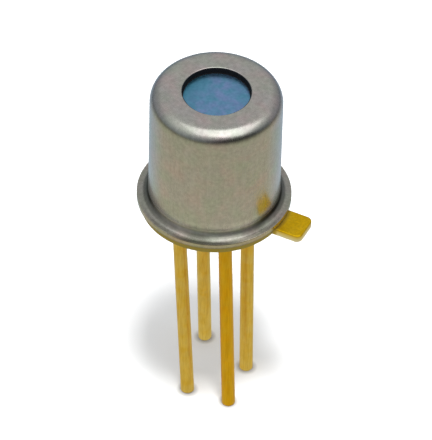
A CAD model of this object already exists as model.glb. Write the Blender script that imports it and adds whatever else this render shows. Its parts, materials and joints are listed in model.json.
"""Looks of an infrared thermopile sensor: a drawn nickel cap with a filter window on a gold-plated header.

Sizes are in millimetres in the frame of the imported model: the origin is the middle of the header's underside,
+X points through the locating tab and +Z along the can's axis. A mesh is turned into metres when it is made.
"""
import json
import math

import bmesh
import bpy
import numpy as np
from mathutils import Matrix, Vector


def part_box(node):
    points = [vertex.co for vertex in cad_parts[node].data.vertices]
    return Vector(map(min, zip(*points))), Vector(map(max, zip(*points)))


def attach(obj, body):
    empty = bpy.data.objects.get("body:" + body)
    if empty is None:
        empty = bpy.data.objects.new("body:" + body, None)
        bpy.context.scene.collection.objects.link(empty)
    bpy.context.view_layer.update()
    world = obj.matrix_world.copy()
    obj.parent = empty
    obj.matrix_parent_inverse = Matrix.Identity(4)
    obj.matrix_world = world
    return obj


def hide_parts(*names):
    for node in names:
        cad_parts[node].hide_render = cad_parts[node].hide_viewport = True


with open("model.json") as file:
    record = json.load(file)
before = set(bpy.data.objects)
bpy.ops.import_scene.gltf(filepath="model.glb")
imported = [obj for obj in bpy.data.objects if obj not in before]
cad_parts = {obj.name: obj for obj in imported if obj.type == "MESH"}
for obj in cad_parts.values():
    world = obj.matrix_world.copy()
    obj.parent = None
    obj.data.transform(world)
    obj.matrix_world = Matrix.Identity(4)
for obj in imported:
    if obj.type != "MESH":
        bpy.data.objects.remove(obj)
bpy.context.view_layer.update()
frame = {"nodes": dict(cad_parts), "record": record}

MM = 0.001


def node_box(node):
    """Lowest and highest corner of a CAD node, in millimetres."""
    low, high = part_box(node)
    return np.array(low) / MM, np.array(high) / MM


# sizes that the frame gives
MOUNTS = {mount["name"]: mount["dims"] for mount in frame["record"]["mounts"]}
CAP_LOW, CAP_HIGH = node_box("cap")
FILTER_LOW, FILTER_HIGH = node_box("ir_filter")
LEAD_LOW, LEAD_HIGH = node_box("lead_1")
CAN_R = MOUNTS["can_wall"]["r_mm"]
CAN_TOP = CAP_HIGH[2]
FLANGE_R = CAP_HIGH[1]
FLANGE_LOW = CAP_LOW[2]
TAB_END, HEADER_R, PLATFORM_TOP = node_box("header")[1]
LEAD_R = MOUNTS["lead_pattern"]["stud_r_mm"]
LEAD_CIRCLE_R = MOUNTS["lead_pattern"]["pcd_mm"] / 2
LEAD_TIP = LEAD_LOW[2]
HEAD_TOP = LEAD_HIGH[2]
HEAD_R = (LEAD_HIGH[0] - LEAD_LOW[0]) / 2
FILTER_SIDE = FILTER_HIGH[0] - FILTER_LOW[0]
FILTER_TOP = FILTER_HIGH[2]

# sizes of the cap's drawn sheet
SHEET = 0.2
SHOULDER_R = 0.5
FLANGE_EDGE_R = 0.02
FLANGE_BURR_R = 0.02
BASE_FILLET_R = 0.3
MOUTH_R = 0.3
APERTURE_R = 1.2
APERTURE_EDGE_R = 0.03
BORE_R = CAN_R - SHEET
CEILING = CAN_TOP - SHEET
FLANGE_TOP = FLANGE_LOW + SHEET

# sizes of the adhesive round the window
SQUEEZE_OUT = 0.02
MENISCUS_R = 0.03

# sizes of the header and what passes through it; the plating of a lead is missing inside its seal
PLATFORM_GAP = 0.08
PLATFORM_R = BORE_R - PLATFORM_GAP
PLATFORM_EDGE_R = 0.04
RIM_EDGE_R = 0.04
TAB_W = 1.1
TAB_CORNER_R = 0.22
SEAL_R = 0.43
SEAL_DIP = 0.04
BRAZE_R = 0.31
BRAZE_DIP = 0.02
PLATING_T = 0.005
SEALED_R = LEAD_R - PLATING_T
TIP_R = 0.04
HEAD_T = 0.14
HEAD_EDGE_R = 0.02

# the leads, numbered from the tab; the last one is brazed to the header, the others pass through glass seals
LEAD_NUMBERS = (1, 2, 3, 4)
GROUND_LEAD = 4
FIRST_LEAD_HEADING = math.radians(45)
LEAD_STEP = math.radians(90)

# how the leads lean below the header: each one's angle, and its direction from the tab
LEAD_UPRIGHT = 0.8
LEAD_BEND_R = 1.2
LEAD_LEANS = np.radians([1.0, 5.0, 4.5, 2.7])
LEAN_HEADINGS = np.radians([350.0, 96.0, 340.0, 345.0])

# how finely the surfaces are cut: points round a turn, along arcs and along straight stretches
TURN_STEPS = 160
QUARTER_STEPS = TURN_STEPS // 4
WIRE_STEPS = 40
ARC_STEPS = 9
SHOULDER_STEPS = 25
FILLET_STEPS = 19
RIM_STEPS = 11
BURR_STEPS = 6
ROUNDING_STEPS = 7
HEAD_STEPS = 5
TAB_CORNER_STEPS = 12
APERTURE_STEPS = 4
TOP_STEPS = 8
WALL_STEPS = 24
TIP_STEPS = 3
WIRE_LENGTH_STEPS = 60
TAB_END_STEPS = 4
TAB_SIDE_STEPS = 8
SPOKE_STEPS = 8
FACE_ROWS = 4
PLATE_ROWS = 7
HOLE_ROWS = 3
ANGLE_SLACK = 1e-6
SHARP_ANGLE = math.radians(32)
MERGE_DISTANCE = 2e-5

# the photograph's camera
VIEW_TURN = math.radians(25.5)
VIEW_RISE = math.radians(44.2)
VIEW_ROLL = math.radians(1.5)
VIEW_DISTANCE = 200.0
FOCAL_PIXELS = 5735.0
PHOTO_SIZE = np.array([432.0, 440.0])
ORIGIN_PIXEL = np.array([213.9, 200.4])
SENSOR_MM = 36.0
CLIP_START = 10.0
CLIP_END = 5000.0
FRONT = np.array([math.sin(VIEW_TURN), -math.cos(VIEW_TURN), 0.0])
RIGHT = np.array([math.cos(VIEW_TURN), math.sin(VIEW_TURN), 0.0])
UP = np.array([0.0, 0.0, 1.0])


# curves and surfaces

def compass(heading):
    """Level unit vector (cos h, sin h, 0) towards a heading h, which is counted from the tab."""
    return np.array([math.cos(heading), math.sin(heading), 0.0])


def arc(centre, radius, start, stop, steps=ARC_STEPS):
    """Points of a circular arc: centre + radius (cos a, sin a), with a from start to stop in degrees."""
    angle = np.radians(np.linspace(start, stop, steps))
    return np.asarray(centre) + radius * np.stack([np.cos(angle), np.sin(angle)], axis=1)


def stretch(start, stop, steps=2):
    """Points of a straight stretch: start + (stop - start) t, with t going evenly from 0 to 1."""
    return np.linspace(start, stop, steps)


def full_turn(steps):
    """Evenly spaced angles of one turn, without the repeated last one."""
    return np.linspace(0, 2 * np.pi, steps, endpoint=False)


def turned(section, angles, centre=(0.0, 0.0)):
    """Half section (r, z) turned about an axis: P(u, v) = centre + r(u) (cos v, sin v) at height z(u)."""
    x = centre[0] + section[:, :1] * np.cos(angles)
    y = centre[1] + section[:, :1] * np.sin(angles)
    height = section[:, 1:] * np.ones_like(angles)
    return np.stack([x, y, height], axis=-1)


def level(outline, z):
    """A flat outline (x, y) lifted to height z."""
    return np.column_stack([outline, np.full(len(outline), z)])


def between(first, last, steps):
    """Ruled surface: P(u, v) = first(v) + (last(v) - first(v)) u, with u going evenly from 0 to 1."""
    u = np.linspace(0, 1, steps)[:, None, None]
    return first + (last - first) * u


def grid_quads(rows, columns, close_rows):
    """Corner numbers of the quads of a grid whose last column joins its first, as its last row may too."""
    row = np.arange(rows if close_rows else rows - 1)[:, None]
    column = np.arange(columns)[None, :]
    next_row = (row + 1) % rows
    next_column = (column + 1) % columns
    corners = [row * columns + column, row * columns + next_column, next_row * columns + next_column,
               next_row * columns + column]
    return np.stack(corners, axis=-1).reshape(-1, 4)


def make_piece(name, grids, close_rows, material, nodes):
    """One closed piece from grids of points, joined along the edges that they share."""
    points = []
    quads = []
    count = 0
    for grid in grids:
        points.append(grid.reshape(-1, 3))
        quads.append(grid_quads(*grid.shape[:2], close_rows) + count)
        count += len(points[-1])
    mesh = bpy.data.meshes.new(name)
    mesh.from_pydata(np.concatenate(points) * MM, [], np.concatenate(quads).tolist())
    shell = bmesh.new()
    shell.from_mesh(mesh)
    bmesh.ops.remove_doubles(shell, verts=shell.verts, dist=MERGE_DISTANCE * MM)
    bmesh.ops.recalc_face_normals(shell, faces=shell.faces)
    shell.to_mesh(mesh)
    shell.free()
    mesh.shade_smooth()
    mesh.set_sharp_from_angle(angle=SHARP_ANGLE)
    mesh.materials.append(material)
    piece = bpy.data.objects.new(name, mesh)
    bpy.context.scene.collection.objects.link(piece)
    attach(piece, "root")
    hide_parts(*nodes)


# shader node helpers

# a Mix node has sockets for numbers and vectors too, so those for colours are picked by their place
MIX_FACTOR, MIX_FIRST, MIX_SECOND = 0, 6, 7
MIX_RESULT = 2
WHITE = (1.0, 1.0, 1.0)


def feed(tree, socket, value):
    """Link another socket into an input, or set the input to a number, a vector or a colour."""
    if isinstance(value, bpy.types.NodeSocket):
        tree.links.new(value, socket)
    elif socket.type == "RGBA":
        socket.default_value = (*value, 1.0)
    else:
        socket.default_value = value


def add_node(tree, kind, **values):
    """A new shader node with its settings and, by socket name, its inputs."""
    node = tree.nodes.new(kind)
    for name, value in values.items():
        if name in node.inputs:
            feed(tree, node.inputs[name], value)
        else:
            setattr(node, name, value)
    return node


def maths(tree, operation, *values):
    """Result of a Math node on sockets or numbers."""
    node = add_node(tree, "ShaderNodeMath", operation=operation)
    for socket, value in zip(node.inputs, values):
        feed(tree, socket, value)
    return node.outputs[0]


def vector_maths(tree, operation, *values):
    """Result of a Vector Math node on sockets or vectors: a number or a vector, as the operation gives it."""
    node = add_node(tree, "ShaderNodeVectorMath", operation=operation)
    for socket, value in zip(node.inputs, values):
        feed(tree, socket, value)
    gives_number = operation in ("DISTANCE", "DOT_PRODUCT", "LENGTH")
    return node.outputs["Value" if gives_number else "Vector"]


def mixed(tree, factor, first, second, blend="MIX"):
    """Colour that goes from first to second, or to their product, as a factor goes from 0 to 1."""
    node = add_node(tree, "ShaderNodeMix", data_type="RGBA", blend_type=blend)
    for place, value in ((MIX_FACTOR, factor), (MIX_FIRST, first), (MIX_SECOND, second)):
        feed(tree, node.inputs[place], value)
    return node.outputs[MIX_RESULT]


def multiplied(tree, first, second):
    """Product of two colours."""
    return mixed(tree, 1.0, first, second, "MULTIPLY")


def mixed_shaders(tree, factor, first, second):
    """Shader that goes from a first node's to a second node's as a factor goes from 0 to 1."""
    node = add_node(tree, "ShaderNodeMixShader")
    for socket, value in zip(node.inputs, (factor, first.outputs[0], second.outputs[0])):
        feed(tree, socket, value)
    return node


def in_range(tree, value, low, high, new_low=0.0, new_high=1.0):
    """A value mapped evenly from one range to another, and held inside it."""
    node = add_node(tree, "ShaderNodeMapRange", Value=value)
    for label, number in (("From Min", low), ("From Max", high), ("To Min", new_low), ("To Max", new_high)):
        node.inputs[label].default_value = number
    return node.outputs["Result"]


def zone_mask(tree, places, zones):
    """Product of the masks of some zones, each of which runs from 0 at its start to 1 where it is full."""
    masks = [in_range(tree, places[place], start, full) for place, start, full in zones]
    mask = masks[0]
    for other in masks[1:]:
        mask = maths(tree, "MULTIPLY", mask, other)
    return mask


def stained(tree, colour, places, stains):
    """Colour multiplied by the tone of each stain where the stain's zones are full."""
    for tone, zones in stains.values():
        colour = mixed(tree, zone_mask(tree, places, zones), colour, tone, "MULTIPLY")
    return colour


def noise(tree, place, per_mm, detail, roughness):
    """Soft noise with so many waves in a millimetre."""
    node = add_node(tree, "ShaderNodeTexNoise", Vector=place, Scale=per_mm)
    node.inputs["Detail"].default_value = detail
    node.inputs["Roughness"].default_value = roughness
    return node.outputs["Fac"]


def place_in_mm(tree):
    """Place of a point in the object's frame, as a vector in millimetres."""
    place = add_node(tree, "ShaderNodeTexCoord").outputs["Object"]
    scaled = add_node(tree, "ShaderNodeVectorMath", operation="SCALE", Scale=1 / MM)
    tree.links.new(place, scaled.inputs[0])
    return scaled.outputs["Vector"]


def split(tree, vector, axis):
    """One coordinate of a vector."""
    node = add_node(tree, "ShaderNodeSeparateXYZ", Vector=vector)
    return node.outputs[axis]


def from_axis(tree):
    """Place of a point without its height, and its distances from the axis and above the seating plane."""
    place = place_in_mm(tree)
    flat = vector_maths(tree, "MULTIPLY", place, (1.0, 1.0, 0.0))
    return flat, {"away": vector_maths(tree, "LENGTH", flat), "height": split(tree, place, "Z")}


def new_group(name, inputs, outputs):
    """An empty shader node group with named sockets, and its input and output nodes."""
    group = bpy.data.node_groups.new(name, "ShaderNodeTree")
    for label, kind, value in inputs:
        socket = group.interface.new_socket(label, in_out="INPUT", socket_type=kind)
        socket.default_value = value
    for label, kind in outputs:
        group.interface.new_socket(label, in_out="OUTPUT", socket_type=kind)
    return group, group.nodes.new("NodeGroupInput"), group.nodes.new("NodeGroupOutput")


def new_material(name):
    """A material with a Principled shader, and its tree."""
    material = bpy.data.materials.new(name)
    material.use_nodes = True
    tree = material.node_tree
    return material, tree, tree.nodes["Principled BSDF"]


def bump(tree, shader, height, strength, distance_mm):
    """Bump of a height socket on a shader's normal."""
    node = add_node(tree, "ShaderNodeBump", Strength=strength, Distance=distance_mm * MM, Height=height)
    tree.links.new(node.outputs["Normal"], shader.inputs["Normal"])


# shared effects

# what sets the third tint's patches apart from the second's, and the noise where a patch starts and is full
PATCH_SHIFT = (13.7, 4.1, 8.9)
PATCH_SPREAD = (0.42, 0.68)
TINT_LABELS = ("Main", "Second", "Third")


def drawn_marks_group():
    """Marks that drawing leaves on metal: streaks that run along Z, and an even fine grain."""
    group, source, result = new_group(
        "drawn_marks",
        [("Streaks per mm", "NodeSocketFloat", 6.0), ("Streak length", "NodeSocketFloat", 20.0),
         ("Grains per mm", "NodeSocketFloat", 20.0)],
        [("Streaks", "NodeSocketFloat"), ("Grain", "NodeSocketFloat")],
    )
    place = place_in_mm(group)
    shorter = maths(group, "DIVIDE", 1.0, source.outputs["Streak length"])
    squeeze = add_node(group, "ShaderNodeCombineXYZ", X=1.0, Y=1.0, Z=shorter)
    along = vector_maths(group, "MULTIPLY", place, squeeze.outputs["Vector"])
    streaks = noise(group, along, source.outputs["Streaks per mm"], detail=3.0, roughness=0.6)
    grain = noise(group, place, source.outputs["Grains per mm"], detail=2.0, roughness=0.5)
    group.links.new(streaks, result.inputs["Streaks"])
    group.links.new(grain, result.inputs["Grain"])
    return group


def tint_patches_group():
    """Colour that drifts over a surface in soft patches between a main tint and two others."""
    grey = (0.5, 0.5, 0.5, 1.0)
    group, source, result = new_group(
        "tint_patches",
        [*((label, "NodeSocketColor", grey) for label in TINT_LABELS),
         ("Patches per mm", "NodeSocketFloat", 1.0), ("Contrast", "NodeSocketFloat", 0.5)],
        [("Color", "NodeSocketColor")],
    )
    place = place_in_mm(group)
    elsewhere = vector_maths(group, "ADD", place, PATCH_SHIFT)
    colour = source.outputs[TINT_LABELS[0]]
    for label, vector in zip(TINT_LABELS[1:], (place, elsewhere)):
        patches = noise(group, vector, source.outputs["Patches per mm"], detail=2.0, roughness=0.45)
        amount = maths(group, "MULTIPLY", in_range(group, patches, *PATCH_SPREAD), source.outputs["Contrast"])
        colour = mixed(group, amount, colour, source.outputs[label])
    group.links.new(colour, result.inputs["Color"])
    return group


DRAWN_MARKS = drawn_marks_group()
TINT_PATCHES = tint_patches_group()


def use_group(tree, group, **values):
    """One placed copy of a node group, with its own values; an underscore stands for a space in a label."""
    node = add_node(tree, "ShaderNodeGroup", node_tree=group)
    for name, value in values.items():
        feed(tree, node.inputs[name.replace("_", " ")], value)
    return node


def use_marks(tree, **values):
    """Streaks and grain of the drawn marks, as two values that lie mostly within MARK_SPREAD."""
    node = use_group(tree, DRAWN_MARKS, **values)
    return node.outputs["Streaks"], node.outputs["Grain"]


def use_tints(tree, tints, **values):
    """Colour that drifts in patches between a main tint and two others."""
    return use_group(tree, TINT_PATCHES, **dict(zip(TINT_LABELS, tints)), **values).outputs["Color"]


# materials

# the values between which a mark is faint and full
MARK_SPREAD = (0.3, 0.7)

# tints of the platings, the main one first, and the tones that marks give them
NICKEL_TINTS = ((0.537, 0.516, 0.498), (0.605, 0.510, 0.495), (0.500, 0.528, 0.462))
NICKEL_GRAIN = ((0.90, 0.90, 0.90), (1.10, 1.10, 1.10))
NICKEL_STREAKS = ((0.96, 0.955, 0.95), (1.04, 1.045, 1.05))
NICKEL_SATIN = (0.26, 0.285)
GOLD_TINTS = ((0.87, 0.555, 0.010), (0.84, 0.51, 0.005), (0.90, 0.60, 0.022))
PALE_GOLD_TINTS = ((0.92, 0.65, 0.130), (0.90, 0.58, 0.065), (0.93, 0.69, 0.195))
DEEP_GOLD_TINTS = ((0.88, 0.51, 0.014), (0.90, 0.48, 0.010), (0.86, 0.54, 0.035))
GOLD_STREAKS = ((0.84, 0.80, 0.68), (1.02, 1.02, 1.02))
GOLD_STREAK_SPREAD = (0.35, 0.65)
GOLD_MATT = (0.38, 0.46)
COATING_TINTS = ((0.190, 0.392, 0.640), (0.135, 0.390, 0.570), (0.250, 0.370, 0.670))
COATING_TEAL = (0.095, 0.340, 0.490)
COATING_TEAL_SIDE = (-0.2, -1.1)
COATING_GRAIN = ((0.86, 0.89, 0.92), (1.14, 1.11, 1.08))
COATING_GLOSS = (0.3, 0.36)

# headings on the cap: of the side that is rubbed clean at its foot and tarnished at its rim, of the tab, and
# of two smudges
RUBBED_HEADING = math.radians(290.5)
TAB_HEADING = 0.0
LEFT_SMUDGE_HEADING = math.radians(283.0)
RIGHT_SMUDGE_HEADING = math.radians(331.0)

# Stains on the cap: the tone that each multiplies the plating by, and its zones. A zone is a place, the value
# at which the stain starts there and the value at which it is full. Above is the height over the flange's
# upper side, and inward the distance in from its rim; rubbed and tab count towards those headings in radii of
# the can; left and right are the cosine of the angle to a smudge's heading.
SMUDGE_TONE = (0.60, 0.60, 0.59)
SMUDGE_BAND = (("inward", 0.36, 0.30), ("inward", 0.10, 0.18))
CAP_STAINS = {
    "burnish": ((1.5, 1.5, 1.5), (("above", 0.65, 0.30),)),
    "foot_shade": ((0.60, 0.61, 0.58), (("above", BASE_FILLET_R, 0.7 * BASE_FILLET_R),)),
    "slope_shade": ((0.52, 0.52, 0.50), (("above", 0.16, 0.10), ("inward", 0.19, 0.25))),
    "grime": ((0.12, 0.115, 0.10), (("above", 0.27, 0.22), ("above", 0.09, 0.15), ("rubbed", 0.9, 0.4))),
    "dull_rim": ((0.84, 0.84, 0.83), (("inward", 0.24, 0.17), ("rubbed", 1.08, 0.95))),
    "soot": ((0.45, 0.43, 0.36), (("above", 0.47, 0.30), ("above", 0.09, 0.15), ("tab", 0.88, 0.97))),
    "left_smudge": (SMUDGE_TONE, (*SMUDGE_BAND, ("left", 0.974, 0.996))),
    "right_smudge": (SMUDGE_TONE, (*SMUDGE_BAND, ("right", 0.974, 0.996))),
}
STRAW_TINT = (0.97, 0.93, 0.76)
STRAW_EDGE = (("inward", 2 * FLANGE_EDGE_R, 0.0),)
EDGE_STAINS = {
    "tarnish": ((0.25, 0.25, 0.24), (("inward", 0.18, 0.11), ("above", -2 * FLANGE_EDGE_R, -FLANGE_EDGE_R),
                                     ("rubbed", 0.98, 1.12))),
    "weld_seam": ((0.62, 0.61, 0.58), (("above", 0.08 - SHEET, 0.03 - SHEET),
                                       ("inward", 2 * FLANGE_BURR_R, FLANGE_BURR_R))),
}
ROUGH_FOOT = (("above", BASE_FILLET_R, 0.7 * BASE_FILLET_R), ("above", 0.04, 0.10))
ROUGH_FOOT_ADDS = 0.16

# browned ring of the header's rim, and the pale side of its tab
BROWN_RING = (("away", 0.93 * HEADER_R, 0.99 * HEADER_R), ("away", FLANGE_R + 0.15, HEADER_R))
BROWN_RISE = (("height", FLANGE_LOW - 0.13, FLANGE_LOW - 0.06),)
BROWN_TONES = ((0.44, 0.350, 0.095), (0.27, 0.225, 0.080))
TAB_SIDE = (("away", FLANGE_R, FLANGE_R + 0.1), ("height", FLANGE_LOW - 0.03, FLANGE_LOW - 0.08),
            ("height", 0.0, 0.02))
TAB_SIDE_FALL = (("height", 0.17, 0.02),)
TAB_SIDE_TONES = ((0.95, 0.73, 0.20), (1.0, 0.93, 0.70))


def nickel_plate():
    """Satin nickel on drawn steel: soft warm and cool patches, faint streaks along the wall, fine grain.

    The wall's foot is burnished above, grimy below and sooty beside the tab. The flange is dulled, smudged
    and tarnished in places. The weld has left a straw tint on its edge and a dark seam under that.
    """
    material, tree, shader = new_material("nickel_plate")
    streaks, grain = use_marks(tree, Streaks_per_mm=6.0, Streak_length=14.0, Grains_per_mm=8.0)
    tint = use_tints(tree, NICKEL_TINTS, Patches_per_mm=1.3, Contrast=0.9)
    flat, distances = from_axis(tree)
    outward = vector_maths(tree, "NORMALIZE", flat)
    places = {
        "above": maths(tree, "SUBTRACT", distances["height"], FLANGE_TOP),
        "inward": maths(tree, "SUBTRACT", FLANGE_R, distances["away"]),
        "rubbed": vector_maths(tree, "DOT_PRODUCT", flat, compass(RUBBED_HEADING) / CAN_R),
        "tab": vector_maths(tree, "DOT_PRODUCT", flat, compass(TAB_HEADING) / CAN_R),
        "left": vector_maths(tree, "DOT_PRODUCT", outward, compass(LEFT_SMUDGE_HEADING)),
        "right": vector_maths(tree, "DOT_PRODUCT", outward, compass(RIGHT_SMUDGE_HEADING)),
    }
    wear = stained(tree, WHITE, places, CAP_STAINS)
    wear = mixed(tree, zone_mask(tree, places, STRAW_EDGE), wear, STRAW_TINT)
    wear = stained(tree, wear, places, EDGE_STAINS)
    fine = multiplied(tree, mixed(tree, in_range(tree, grain, *MARK_SPREAD), *NICKEL_GRAIN),
                      mixed(tree, in_range(tree, streaks, *MARK_SPREAD), *NICKEL_STREAKS))
    plated = multiplied(tree, tint, fine)
    feed(tree, shader.inputs["Base Color"], multiplied(tree, plated, wear))
    shader.inputs["Metallic"].default_value = 1.0
    satin = in_range(tree, streaks, *MARK_SPREAD, *NICKEL_SATIN)
    foot = zone_mask(tree, places, ROUGH_FOOT)
    feed(tree, shader.inputs["Roughness"], maths(tree, "MULTIPLY_ADD", foot, ROUGH_FOOT_ADDS, satin))
    bump(tree, shader, grain, strength=0.02, distance_mm=0.004)
    return material


def gold_plate(name, tints):
    """Matt gold plating over drawn wire and a stamping, whose tone drifts between a deep and a pale one."""
    material, tree, shader = new_material(name)
    streaks, grain = use_marks(tree, Streaks_per_mm=14.0, Streak_length=12.0, Grains_per_mm=34.0)
    tint = use_tints(tree, tints, Patches_per_mm=2.4, Contrast=0.7)
    shade = mixed(tree, in_range(tree, streaks, *GOLD_STREAK_SPREAD), *GOLD_STREAKS)
    feed(tree, shader.inputs["Base Color"], multiplied(tree, tint, shade))
    shader.inputs["Metallic"].default_value = 1.0
    feed(tree, shader.inputs["Roughness"], in_range(tree, streaks, *MARK_SPREAD, *GOLD_MATT))
    bump(tree, shader, grain, strength=0.2, distance_mm=0.004)
    return material


def header_gold():
    """Gold plating that is browned on the rim, where the cap is welded on, and pale on the tab's side.

    The brown fades out along the tab.
    """
    material = gold_plate("gold_plate", GOLD_TINTS)
    tree = material.node_tree
    base = tree.nodes["Principled BSDF"].inputs["Base Color"]
    gold = base.links[0].from_socket
    places = from_axis(tree)[1]
    brown = mixed(tree, zone_mask(tree, places, BROWN_RISE), *BROWN_TONES)
    browned = mixed(tree, zone_mask(tree, places, BROWN_RING), gold, brown)
    pale = mixed(tree, zone_mask(tree, places, TAB_SIDE_FALL), *TAB_SIDE_TONES)
    feed(tree, base, mixed(tree, zone_mask(tree, places, TAB_SIDE), browned, pale))
    return material


def filter_coating():
    """Polished silicon with a coating whose blue drifts to violet in patches and to teal on one side."""
    material, tree, shader = new_material("filter_coating")
    tint = use_tints(tree, COATING_TINTS, Patches_per_mm=3.2, Contrast=0.85)
    grain = use_marks(tree, Grains_per_mm=9.0)[1]
    aside = split(tree, place_in_mm(tree), "X")
    coating = mixed(tree, in_range(tree, aside, *COATING_TEAL_SIDE), tint, COATING_TEAL)
    fine = mixed(tree, in_range(tree, grain, *MARK_SPREAD), *COATING_GRAIN)
    feed(tree, shader.inputs["Base Color"], multiplied(tree, coating, fine))
    shader.inputs["Metallic"].default_value = 1.0
    feed(tree, shader.inputs["Roughness"], in_range(tree, grain, *MARK_SPREAD, *COATING_GLOSS))
    return material


def plain_finish(name, main, second, metallic, gloss, grains, relief, specular=0.5):
    """A finish with two close tones in soft patches, and a fine grain that also sets its gloss."""
    material, tree, shader = new_material(name)
    grain = use_marks(tree, Grains_per_mm=grains)[1]
    tint = use_tints(tree, (main, second, main), Patches_per_mm=4.0, Contrast=0.8)
    feed(tree, shader.inputs["Base Color"], tint)
    shader.inputs["Metallic"].default_value = metallic
    shader.inputs["Specular IOR Level"].default_value = specular
    feed(tree, shader.inputs["Roughness"], in_range(tree, grain, *MARK_SPREAD, *gloss))
    bump(tree, shader, grain, strength=relief, distance_mm=0.006)
    return material


NICKEL = nickel_plate()
GOLD = header_gold()
PALE_GOLD = gold_plate("pale_gold_plate", PALE_GOLD_TINTS)
DEEP_GOLD = gold_plate("deep_gold_plate", DEEP_GOLD_TINTS)
COATING = filter_coating()
BLACK_EPOXY = plain_finish("black_epoxy", (0.004, 0.004, 0.005), (0.007, 0.007, 0.007), metallic=0.0,
                           gloss=(0.6, 0.8), grains=30.0, relief=0.3, specular=0.15)
SEAL_GLASS = plain_finish("seal_glass", (0.030, 0.060, 0.062), (0.050, 0.085, 0.080), metallic=0.0,
                          gloss=(0.1, 0.2), grains=22.0, relief=0.1)
BRAZE = plain_finish("braze_metal", (0.52, 0.33, 0.16), (0.56, 0.40, 0.24), metallic=1.0,
                     gloss=(0.32, 0.45), grains=26.0, relief=0.3)
CHIP_SILICON = plain_finish("chip_silicon", (0.17, 0.18, 0.21), (0.20, 0.20, 0.24), metallic=1.0,
                            gloss=(0.1, 0.2), grains=40.0, relief=0.05)
ABSORBER = plain_finish("absorber_black", (0.004, 0.004, 0.004), (0.008, 0.008, 0.008), metallic=0.0,
                        gloss=(0.8, 0.95), grains=60.0, relief=0.6)
SILVER_EPOXY = plain_finish("silver_epoxy", (0.40, 0.40, 0.38), (0.32, 0.32, 0.31), metallic=0.7,
                            gloss=(0.35, 0.5), grains=45.0, relief=0.5)
CERAMIC = plain_finish("thermistor_ceramic", (0.060, 0.052, 0.046), (0.085, 0.074, 0.064), metallic=0.0,
                       gloss=(0.5, 0.7), grains=40.0, relief=0.3)
BOND_GOLD = plain_finish("bond_wire_gold", (0.70, 0.46, 0.09), (0.66, 0.42, 0.07), metallic=1.0,
                         gloss=(0.18, 0.25), grains=30.0, relief=0.05)

INNER_FINISHES = {
    "ir_filter": COATING,
    "thermopile_chip": CHIP_SILICON,
    "absorber": ABSORBER,
    "chip_adhesive": SILVER_EPOXY,
    "thermistor": CERAMIC,
    "thermistor_adhesive": SILVER_EPOXY,
    "bond_wire_1": BOND_GOLD,
    "bond_wire_2": BOND_GOLD,
    "bond_wire_3": BOND_GOLD,
}
for node_name, finish in INNER_FINISHES.items():
    node_mesh = frame["nodes"][node_name].data
    node_mesh.materials.clear()
    node_mesh.materials.append(finish)


# pieces

def cap_section():
    """Half section of the drawn cap, from the opening's wall over the outside and back up the bore."""
    inner_r = SHOULDER_R - SHEET
    return np.vstack([
        stretch((APERTURE_R, CEILING), (APERTURE_R, CAN_TOP - APERTURE_EDGE_R), APERTURE_STEPS)[:-1],
        arc((APERTURE_R + APERTURE_EDGE_R, CAN_TOP - APERTURE_EDGE_R), APERTURE_EDGE_R, 180, 90),
        stretch((APERTURE_R + APERTURE_EDGE_R, CAN_TOP), (CAN_R - SHOULDER_R, CAN_TOP), TOP_STEPS)[1:-1],
        arc((CAN_R - SHOULDER_R, CAN_TOP - SHOULDER_R), SHOULDER_R, 90, 0, SHOULDER_STEPS),
        stretch((CAN_R, CAN_TOP - SHOULDER_R), (CAN_R, FLANGE_TOP + BASE_FILLET_R), WALL_STEPS)[1:-1],
        arc((CAN_R + BASE_FILLET_R, FLANGE_TOP + BASE_FILLET_R), BASE_FILLET_R, 180, 270, FILLET_STEPS),
        arc((FLANGE_R - FLANGE_EDGE_R, FLANGE_TOP - FLANGE_EDGE_R), FLANGE_EDGE_R, 90, 0, RIM_STEPS),
        arc((FLANGE_R - FLANGE_BURR_R, FLANGE_LOW + FLANGE_BURR_R), FLANGE_BURR_R, 0, -90, BURR_STEPS),
        arc((BORE_R + MOUTH_R, FLANGE_LOW + MOUTH_R), MOUTH_R, 270, 180),
        arc((BORE_R - inner_r, CEILING - inner_r), inner_r, 0, 90),
    ])


def adhesive_rows(angles):
    """Radii and heights of the black adhesive, row by row: a square layer with a collar up the opening."""
    square = FILTER_SIDE / 2 / np.maximum(np.abs(np.cos(angles)), np.abs(np.sin(angles)))
    round_row = np.ones_like(angles)
    inner_r = APERTURE_R - SQUEEZE_OUT
    lip = SQUEEZE_OUT / 2
    lip_z = CAN_TOP - APERTURE_EDGE_R - lip
    foot = arc((inner_r - MENISCUS_R, FILTER_TOP + MENISCUS_R), MENISCUS_R, 0, -90, BURR_STEPS)
    collar = np.vstack([arc((inner_r + lip, lip_z), lip, 0, 180, ROUNDING_STEPS), foot])
    return [(square, FILTER_TOP), (square, CEILING), (APERTURE_R * round_row, CEILING)] + [
        (radius * round_row, z) for radius, z in collar]


def adhesive_surface(angles):
    """P(u, v) = R_u(v) (cos v, sin v) at height z_u: a row is round, or follows the filter's square edge."""
    rows = adhesive_rows(angles)
    radius = np.stack([row for row, _ in rows])
    height = np.array([z for _, z in rows])[:, None] * np.ones_like(angles)
    return np.stack([radius * np.cos(angles), radius * np.sin(angles), height], axis=-1)


def lead_centre(number):
    """Middle of a lead: evenly spaced headings round the lead circle."""
    return LEAD_CIRCLE_R * compass(FIRST_LEAD_HEADING + LEAD_STEP * (number - 1))[:2]


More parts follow.
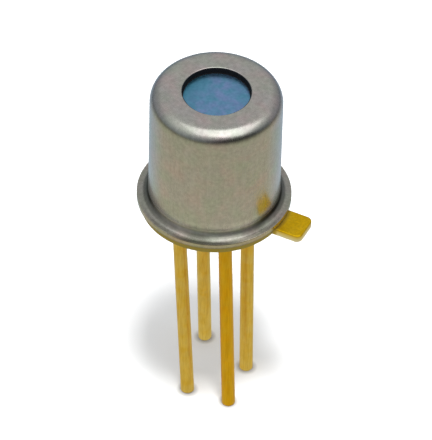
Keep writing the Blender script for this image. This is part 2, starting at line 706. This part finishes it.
def lead_section(tip, has_head):
    """Half section of a lead as if it were straight, from its rounded tip up to its end or its flat head."""
    outline = [
        stretch((0, tip), (LEAD_R - TIP_R, tip), TIP_STEPS)[:-1],
        arc((LEAD_R - TIP_R, tip + TIP_R), TIP_R, -90, 0, ROUNDING_STEPS),
        stretch((LEAD_R, tip + TIP_R), (LEAD_R, 0), WIRE_LENGTH_STEPS)[1:],
        stretch((SEALED_R, 0), (SEALED_R, PLATFORM_TOP)),
    ]
    if has_head:
        head_low = HEAD_TOP - HEAD_T
        edge = HEAD_R - HEAD_EDGE_R
        outline += [
            stretch((LEAD_R, PLATFORM_TOP), (LEAD_R, head_low)),
            arc((edge, head_low + HEAD_EDGE_R), HEAD_EDGE_R, -90, 0, HEAD_STEPS),
            arc((edge, HEAD_TOP - HEAD_EDGE_R), HEAD_EDGE_R, 0, 90, HEAD_STEPS),
        ]
    outline.append(np.array([[0, HEAD_TOP if has_head else PLATFORM_TOP]]))
    return np.vstack(outline)


def lead_run(lean):
    """Length of a lead's leaning part, which puts the lowest point of its tip at the level of all tips."""
    tip_drop = (LEAD_R - TIP_R) * math.sin(lean) + TIP_R * (1 - math.cos(lean))
    return (-LEAD_TIP - LEAD_UPRIGHT - LEAD_BEND_R * math.sin(lean) - tip_drop) / math.cos(lean)


def bent_lead(section, angles, centre, lean, heading):
    """Wire round a line A that stands upright, bends and runs straight.

    P(u, v) = A(s) + r (cos v N(s) + sin v B): a half section (r, -s) gives the radius r at the length s along
    the line; N leans with the line, and B is level.
    """
    length = -section[:, 1:]
    past = np.maximum(length - LEAD_UPRIGHT, 0)
    tilt = np.minimum(past / LEAD_BEND_R, lean)
    run = np.maximum(past - LEAD_BEND_R * lean, 0)
    aside = LEAD_BEND_R * (1 - np.cos(tilt)) + run * np.sin(tilt)
    down = np.minimum(length, LEAD_UPRIGHT) + LEAD_BEND_R * np.sin(tilt) + run * np.cos(tilt)
    ahead = aside + section[:, :1] * np.cos(tilt) * np.cos(angles)
    across = section[:, :1] * np.sin(angles)
    height = section[:, :1] * np.sin(tilt) * np.cos(angles) - down
    x = centre[0] + ahead * math.cos(heading) - across * math.sin(heading)
    y = centre[1] + ahead * math.sin(heading) + across * math.cos(heading)
    return np.stack([x, y, height], axis=-1)


def lead_tip(number):
    """Middle of a lead's tip on the floor."""
    lean = LEAD_LEANS[number - 1]
    aside = LEAD_BEND_R * (1 - math.cos(lean)) + lead_run(lean) * math.sin(lean)
    return np.array([*lead_centre(number), LEAD_TIP]) + aside * compass(LEAN_HEADINGS[number - 1])


def ring_section(outer_r, dip):
    """Half section of a ring round a lead, whose ends are hollowed by a circular arc that is dip deep."""
    width = outer_r - SEALED_R
    middle = SEALED_R + width / 2
    radius = (width ** 2 / 4 + dip ** 2) / (2 * dip)
    half = math.degrees(math.asin(width / 2 / radius))
    return np.vstack([
        arc((middle, dip - radius), radius, 90 + half, 90 - half),
        arc((middle, PLATFORM_TOP - dip + radius), radius, 270 + half, 270 - half),
    ])


def header_outline():
    """Header's outline from the tab's middle round to it again: rounded tab corners and the round flange."""
    root = math.degrees(math.asin(TAB_W / 2 / HEADER_R))
    corner = (TAB_END - TAB_CORNER_R, TAB_W / 2 - TAB_CORNER_R)
    root_x = HEADER_R * math.cos(math.radians(root))
    half_tab = np.vstack([
        stretch((TAB_END, 0), (TAB_END, corner[1]), TAB_END_STEPS)[:-1],
        arc(corner, TAB_CORNER_R, 0, 90, TAB_CORNER_STEPS),
        stretch((corner[0], TAB_W / 2), (root_x, TAB_W / 2), TAB_SIDE_STEPS)[1:-1],
    ])
    quarters = [arc((0, 0), HEADER_R, low, high, steps)[:-1] for low, high, steps in (
        (root, 90, QUARTER_STEPS), (90, 180, QUARTER_STEPS + 1), (180, 270, QUARTER_STEPS + 1),
        (270, 360 - root, QUARTER_STEPS))]
    last_root = arc((0, 0), HEADER_R, 360 - root, 360 - root, 1)
    return np.vstack([half_tab, *quarters, last_root, half_tab[:0:-1] * (1, -1)])


def outline_normals(outline):
    """Unit normals out of a closed outline: a quarter turn of the step from each point's last to its next."""
    step = np.roll(outline, -1, axis=0) - np.roll(outline, 1, axis=0)
    normal = np.stack([step[:, 1], -step[:, 0]], axis=1)
    return normal / np.linalg.norm(normal, axis=1, keepdims=True)


def rim_surface(outline, low, high, edge_r):
    """Wall round an outline, rounded at the top: P(u, v) = outline(v) + normal(v) d(u), at height z(u)."""
    section = np.vstack([[(0.0, low)], arc((-edge_r, high - edge_r), edge_r, 0, 90, ROUNDING_STEPS)])
    normal = outline_normals(outline)
    flat = outline[None] + section[:, :1, None] * normal[None]
    height = np.broadcast_to(section[:, 1, None, None], (*flat.shape[:2], 1))
    return np.concatenate([flat, height], axis=-1)


def quarter_plate(angles, radius, hole, hole_r, z):
    """Quarter of a flat disc round a hole: an edge point B is joined to c + r (B - c) / |B - c| on it."""
    rim = radius * np.stack([np.cos(angles), np.sin(angles)], axis=1)
    edge = np.vstack([
        stretch((0, 0), rim[0], SPOKE_STEPS)[:-1],
        rim,
        stretch(rim[-1], (0, 0), SPOKE_STEPS)[1:-1],
    ])
    spoke = edge - hole
    rim_of_hole = hole + hole_r * spoke / np.linalg.norm(spoke, axis=1, keepdims=True)
    return between(level(rim_of_hole, z), level(edge, z), PLATE_ROWS)


def header_grids():
    """Grids of the header: underside, rim with tab, flange top, platform, and the holes for the leads."""
    outline = header_outline()
    angles = np.unwrap(np.arctan2(outline[:, 1], outline[:, 0]))
    ring = np.stack([np.cos(angles), np.sin(angles)], axis=1)
    inner_r = PLATFORM_R - PLATFORM_EDGE_R
    rim = rim_surface(outline, 0.0, FLANGE_LOW, RIM_EDGE_R)
    edge = arc((inner_r, PLATFORM_TOP - PLATFORM_EDGE_R), PLATFORM_EDGE_R, 0, 90)
    platform = [level(ring * PLATFORM_R, FLANGE_LOW)] + [level(ring * radius, z) for radius, z in edge]
    grids = [
        between(level(ring * inner_r, 0.0), level(outline, 0.0), FACE_ROWS),
        rim,
        between(rim[-1], platform[0], FACE_ROWS),
        np.stack(platform),
    ]
    for number in LEAD_NUMBERS:
        low = LEAD_STEP * (number - 1)
        part = angles[(angles > low - ANGLE_SLACK) & (angles < low + LEAD_STEP + ANGLE_SLACK)]
        if number == LEAD_NUMBERS[-1]:
            part = np.append(part, 2 * math.pi)
        hole_r = BRAZE_R if number == GROUND_LEAD else SEAL_R
        plates = [quarter_plate(part, inner_r, lead_centre(number), hole_r, z) for z in (0.0, PLATFORM_TOP)]
        grids += [*plates, between(plates[0][0], plates[1][0], HOLE_ROWS)]
    return grids


TURN = full_turn(TURN_STEPS)
WIRE_TURN = full_turn(WIRE_STEPS)
make_piece("drawn_cap", [turned(cap_section(), TURN)], True, NICKEL, ["cap"])
make_piece("window_adhesive", [adhesive_surface(TURN)], True, BLACK_EPOXY, ["filter_adhesive"])
make_piece("gold_header", header_grids(), False, GOLD, ["header"])
for number in LEAD_NUMBERS:
    is_ground = number == GROUND_LEAD
    middle = lead_centre(number)
    lean, heading = LEAD_LEANS[number - 1], LEAN_HEADINGS[number - 1]
    tip = -(LEAD_UPRIGHT + LEAD_BEND_R * lean + lead_run(lean))
    wire = bent_lead(lead_section(tip, not is_ground), WIRE_TURN, middle, lean, heading)
    plating = DEEP_GOLD if is_ground else PALE_GOLD
    make_piece(f"wire_lead_{number}", [wire], False, plating, [f"lead_{number}"])
    if is_ground:
        collar = turned(ring_section(BRAZE_R, BRAZE_DIP), WIRE_TURN, middle)
        make_piece("braze_ring", [collar], True, BRAZE, ["lead_braze"])
    else:
        bead = turned(ring_section(SEAL_R, SEAL_DIP), WIRE_TURN, middle)
        seal = f"glass_seal_{number}"
        make_piece(f"glass_bead_{number}", [bead], True, SEAL_GLASS, [seal])


# studio

FLOOR_REACH = 1000.0
FLOOR_ALBEDO = 0.9

# the floor as metal mirrors it: its tone behind and in front of the object, by the cosine of the angle to the
# camera's direction, and its strength, as two distances from the object and the values there
WARM_FLOOR = (0.54, 0.515, 0.39)
COOL_FLOOR = (0.46, 0.58, 0.70)
COOL_TO_WARM = (-0.8, -0.1)
FAR_DIM = (22.0, 80.0, 1.0, 0.35)
NEAR_GLOW = (13.5, 16.5, 1.2, 1.0)

# the shade that a lead's tip puts on the floor: two distances from its middle, and the tones there
TIP_SHADE = (0.18, 0.42, 0.4, 1.0)

# the room as metal mirrors it: its tones at the horizon and high up, by the sine of the elevation, and its
# parts, each a tone that multiplies those and its zones; height counts upwards, sides to both sides, and dark
# and bright towards those directions
ROOM_RISE = (0.0, 0.7)
ROOM_TONES = ((0.36, 0.39, 0.43), (0.53, 0.53, 0.525))
DARK_TURN = math.radians(30)
BRIGHT_TURN = math.radians(64.5)
BRIGHT_RISE = math.radians(44)
ROOM_PARTS = {
    "bright_sides": ((1.42, 1.42, 1.42), (("bright", 0.80, 0.95),)),
    "low_sides": ((0.76, 0.76, 0.76), (("sides", 0.3, 0.6), ("height", 0.75, 0.5))),
    "dim_front": ((0.26, 0.27, 0.28), (("dark", 0.2, 0.8), ("height", 0.6, 0.2))),
    "dark_patch": ((0.12, 0.10, 0.08), (("dark", 0.7, 0.95), ("height", -0.1, 0.1), ("height", 0.7, 0.45))),
}

# the room's light on matt surfaces
MATT_LIGHT = (0.81, 0.83, 0.85)

# lamps: places ahead of the object towards the camera, to the camera's right and up; sides and powers
SOFTBOX_PLACE = (70.0, 38.0, 300.0)
SOFTBOX_DEPTH = 340.0
SOFTBOXES = {"narrow_softbox": (130.0, 0.21), "wide_softbox": (420.0, 0.37)}
KEY_PLACE = (62.0, 13.0, 300.0)
KEY_SIDE = 60.0
KEY_POWER = 0.88


def facing(place, right, up, back):
    """Matrix, in metres, of a camera or lamp at a place in millimetres, that looks against its back."""
    matrix = np.identity(4)
    matrix[:3, :3] = np.stack([right, up, back], axis=1)
    matrix[:3, 3] = np.asarray(place) * MM
    return Matrix(matrix.tolist())


def place_camera():
    """Camera at the photograph's angle, moved sideways so that the origin falls on its pixel."""
    back = math.cos(VIEW_RISE) * FRONT + math.sin(VIEW_RISE) * UP
    level_up = np.cross(back, RIGHT)
    right = math.cos(VIEW_ROLL) * RIGHT + math.sin(VIEW_ROLL) * level_up
    up = math.cos(VIEW_ROLL) * level_up - math.sin(VIEW_ROLL) * RIGHT
    aside = (PHOTO_SIZE / 2 - ORIGIN_PIXEL) * VIEW_DISTANCE / FOCAL_PIXELS
    data = bpy.data.cameras.new("photo_camera")
    data.sensor_width = SENSOR_MM
    data.lens = FOCAL_PIXELS / PHOTO_SIZE.max() * SENSOR_MM
    data.clip_start = CLIP_START * MM
    data.clip_end = CLIP_END * MM
    camera = bpy.data.objects.new("photo_camera", data)
    camera.matrix_world = facing(back * VIEW_DISTANCE + right * aside[0] - up * aside[1], right, up, back)
    bpy.context.scene.collection.objects.link(camera)
    bpy.context.scene.camera = camera


def place_lamp(name, place, width, depth, power):
    """Soft rectangular lamp that faces the origin, at a place given from the camera's point of view."""
    spot = place[0] * FRONT + place[1] * RIGHT + place[2] * UP
    back = spot / np.linalg.norm(spot)
    across = np.cross(-FRONT, back)
    across /= np.linalg.norm(across)
    data = bpy.data.lights.new(name, "AREA")
    data.shape = "RECTANGLE"
    data.size = width * MM
    data.size_y = depth * MM
    data.energy = power
    lamp = bpy.data.objects.new(name, data)
    lamp.matrix_world = facing(spot, across, np.cross(back, across), back)
    lamp.visible_camera = False
    bpy.context.scene.collection.objects.link(lamp)
    return lamp


def lay_floor(material):
    """Flat square floor at the level of the leads' tips."""
    corners = level(FLOOR_REACH * np.array([(-1, -1), (1, -1), (1, 1), (-1, 1)]), LEAD_TIP)
    mesh = bpy.data.meshes.new("floor")
    mesh.from_pydata(corners * MM, [], [tuple(range(len(corners)))])
    mesh.materials.append(material)
    plane = bpy.data.objects.new("floor", mesh)
    bpy.context.scene.collection.objects.link(plane)


def floor_material():
    """Pale floor that takes the shadow, with a contact shade round each tip; from below it is clear.

    In reflections it glows, warm in front and cool behind, brightest round the leads, and dims far away.
    """
    material = bpy.data.materials.new("pale_floor")
    material.use_nodes = True
    tree = material.node_tree
    tree.nodes.clear()
    place = place_in_mm(tree)
    away = vector_maths(tree, "LENGTH", place)
    ahead = vector_maths(tree, "DOT_PRODUCT", vector_maths(tree, "NORMALIZE", place), FRONT)
    tone = mixed(tree, in_range(tree, ahead, *COOL_TO_WARM), COOL_FLOOR, WARM_FLOOR)
    glow = maths(tree, "MULTIPLY", in_range(tree, away, *FAR_DIM), in_range(tree, away, *NEAR_GLOW))
    mirrored_floor = add_node(tree, "ShaderNodeEmission", Color=tone, Strength=glow)
    shade = FLOOR_ALBEDO
    for number in LEAD_NUMBERS:
        gap = vector_maths(tree, "DISTANCE", place, lead_tip(number))
        shade = maths(tree, "MULTIPLY", shade, in_range(tree, gap, *TIP_SHADE))
    diffuse = add_node(tree, "ShaderNodeBsdfDiffuse", Color=shade)
    clear = add_node(tree, "ShaderNodeBsdfTransparent")
    is_glossy = add_node(tree, "ShaderNodeLightPath").outputs["Is Glossy Ray"]
    is_below = add_node(tree, "ShaderNodeNewGeometry").outputs["Backfacing"]
    top = mixed_shaders(tree, is_glossy, diffuse, mirrored_floor)
    floor = mixed_shaders(tree, is_below, top, clear)
    add_node(tree, "ShaderNodeOutputMaterial", Surface=floor.outputs[0])
    return material


def make_world():
    """Soft room: white for the camera, and an even light on matt surfaces.

    In reflections it is pale above and brightest half way up on both sides. It is dimmer low on both sides
    and low in front, with a dark patch in front, a little to the right.
    """
    world = bpy.data.worlds.new("soft_room")
    bpy.context.scene.world = world
    world.use_nodes = True
    tree = world.node_tree
    tree.nodes.clear()
    direction = add_node(tree, "ShaderNodeTexCoord").outputs["Generated"]
    dark_way = math.cos(DARK_TURN) * FRONT + math.sin(DARK_TURN) * RIGHT
    bright_way = math.cos(BRIGHT_RISE) * math.cos(BRIGHT_TURN) * FRONT + math.sin(BRIGHT_RISE) * UP
    bright_aside = math.cos(BRIGHT_RISE) * math.sin(BRIGHT_TURN)
    sides = maths(tree, "ABSOLUTE", vector_maths(tree, "DOT_PRODUCT", direction, RIGHT))
    bright_ahead = vector_maths(tree, "DOT_PRODUCT", direction, bright_way)
    places = {
        "height": split(tree, direction, "Z"),
        "sides": sides,
        "dark": vector_maths(tree, "DOT_PRODUCT", direction, dark_way),
        "bright": maths(tree, "MULTIPLY_ADD", sides, bright_aside, bright_ahead),
    }
    room = mixed(tree, in_range(tree, places["height"], *ROOM_RISE), *ROOM_TONES)
    colour = stained(tree, room, places, ROOM_PARTS)
    paths = add_node(tree, "ShaderNodeLightPath")
    for label, tone in (("Is Diffuse Ray", MATT_LIGHT), ("Is Camera Ray", WHITE)):
        colour = mixed(tree, paths.outputs[label], colour, tone)
    background = add_node(tree, "ShaderNodeBackground", Color=colour, Strength=1.0)
    add_node(tree, "ShaderNodeOutputWorld", Surface=background.outputs[0])


lay_floor(floor_material())
make_world()
for lamp_name, (lamp_width, lamp_power) in SOFTBOXES.items():
    softbox = place_lamp(lamp_name, SOFTBOX_PLACE, lamp_width, SOFTBOX_DEPTH, lamp_power)
    softbox.visible_diffuse = False
key_lamp = place_lamp("key_lamp", KEY_PLACE, KEY_SIDE, KEY_SIDE, KEY_POWER)
key_lamp.visible_glossy = False
place_camera()
bpy.context.scene.view_settings.view_transform = "Standard"
